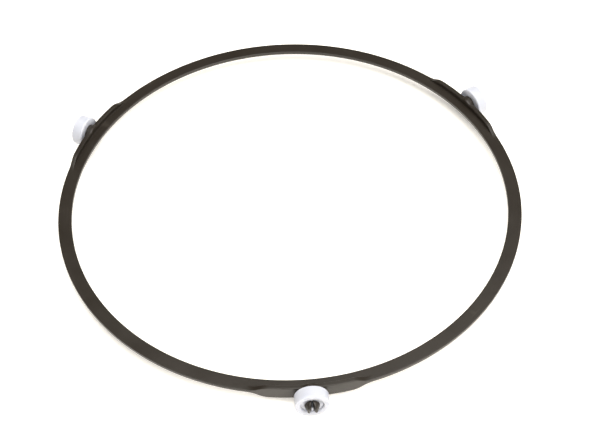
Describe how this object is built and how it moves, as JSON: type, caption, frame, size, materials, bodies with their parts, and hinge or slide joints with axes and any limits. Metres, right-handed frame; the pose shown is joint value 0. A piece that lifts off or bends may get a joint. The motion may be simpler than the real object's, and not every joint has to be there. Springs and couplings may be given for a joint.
{
  "type": "microwave turntable roller ring",
  "caption": "Dark plastic ring with white rollers on split snap pins; it runs round a microwave oven's floor and carries the glass tray.",
  "frame": {"origin": "centre of the ring, at the height where the roller axles meet the ring's axis", "axes": "+Z along the ring's axis, up towards the tray; one roller points along -Y"},
  "size_m": [0.214, 0.2231, 0.0144],
  "materials": {
    "ring_plastic": "satin",
    "roller_plastic": "satin"
  },
  "bodies": {
    "ring": {"ring_frame": "ring_plastic"},
    "front_wheel": {"front_roller": "roller_plastic"},
    "right_wheel": {"right_roller": "roller_plastic"},
    "left_wheel": {"left_roller": "roller_plastic"}
  },
  "joints": [
    {"name": "front_spin", "type": "hinge", "parent": "ring", "child": "front_wheel", "pos_m": [0, -0.1111, 0], "axis": [0, -1, 0], "continuous": true},
    {"name": "right_spin", "type": "hinge", "parent": "ring", "child": "right_wheel", "pos_m": [0.09621, 0.05555, 0], "axis": [0.866, 0.5, 0], "continuous": true},
    {"name": "left_spin", "type": "hinge", "parent": "ring", "child": "left_wheel", "pos_m": [-0.09621, 0.05555, 0], "axis": [-0.866, 0.5, 0], "continuous": true}
  ]
}
